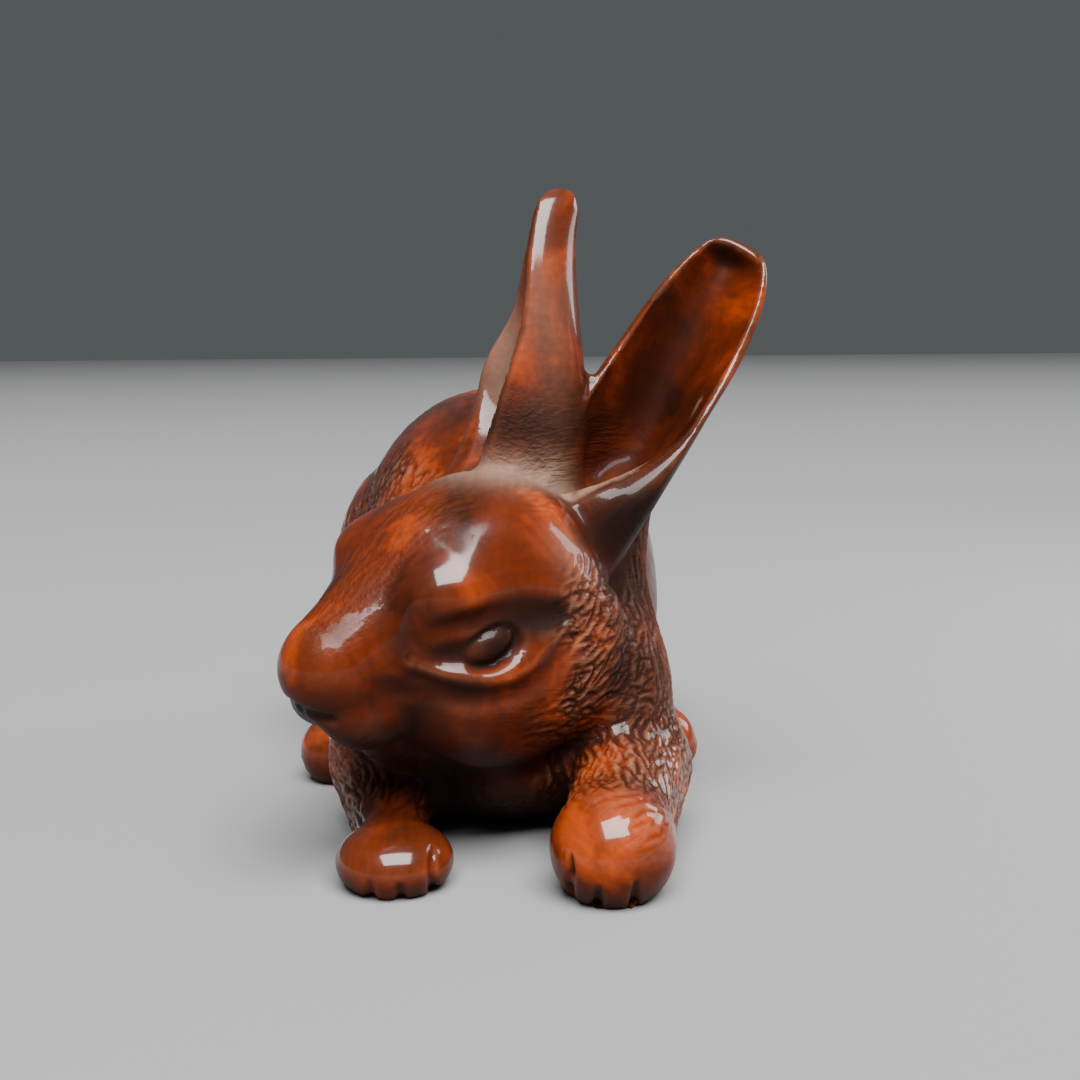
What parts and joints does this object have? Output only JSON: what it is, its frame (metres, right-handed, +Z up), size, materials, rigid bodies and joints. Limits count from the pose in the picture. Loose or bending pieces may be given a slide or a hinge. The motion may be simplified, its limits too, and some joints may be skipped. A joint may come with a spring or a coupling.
{
  "type": "carved rabbit statue",
  "caption": "Small polished boxwood carving of a rabbit lying on its folded legs, forepaws ahead, head turned to its right, ears up.",
  "frame": {"origin": "on the surface it stands on, under the middle of its outer box", "axes": "+Z up; the rabbit's body faces -Y, its rump is at +Y, its own left side is +X, and its head is turned towards -X"},
  "size_m": [0.049, 0.0846, 0.0642],
  "materials": {
    "boxwood": "reddish-brown stained boxwood, hand-rubbed to a high polish, darker in the carved hollows"
  },
  "bodies": {
    "root": {"rabbit": "boxwood"}
  },
  "joints": []
}
